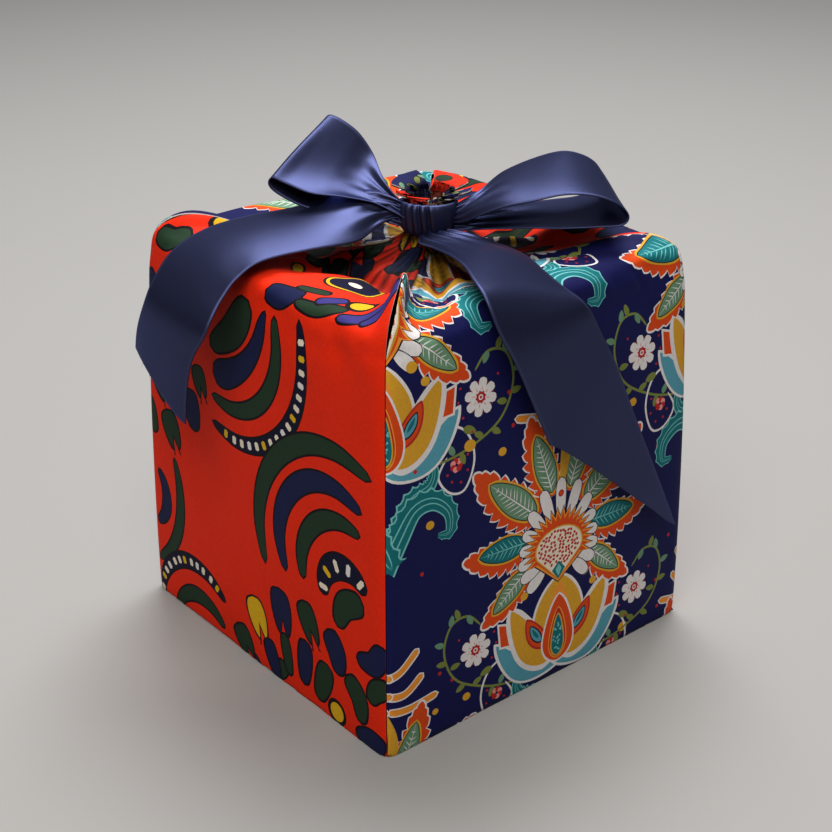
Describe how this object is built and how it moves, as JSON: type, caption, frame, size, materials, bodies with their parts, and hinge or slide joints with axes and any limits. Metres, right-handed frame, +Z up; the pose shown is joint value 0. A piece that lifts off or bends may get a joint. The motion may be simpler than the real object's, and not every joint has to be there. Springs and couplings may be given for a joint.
{
  "type": "furoshiki gift wrap",
  "caption": "Box-shaped cloth gift wrap in two floral and leaf prints, gathered at the top and tied with a satin ribbon bow.",
  "frame": {"origin": "middle of the base, on the surface that the wrap stands on", "axes": "+Z up; the vermilion front panel faces -Y and the navy side of the strip faces +X"},
  "size_m": [0.1629, 0.1743, 0.1986],
  "materials": {
    "navy_print_cotton": "plain-weave cotton, navy ground with a multicoloured flower and leaf print, slight sheen",
    "red_print_cotton": "plain-weave cotton, vermilion ground with dark outlined crescents, drops and beads, slight sheen",
    "navy_satin": "navy satin ribbon with a soft blue-violet sheen"
  },
  "bodies": {
    "root": {"navy_strip": "navy_print_cotton", "red_panel_front": "red_print_cotton", "red_panel_rear": "red_print_cotton", "ribbon_bow": "navy_satin"}
  },
  "joints": []
}
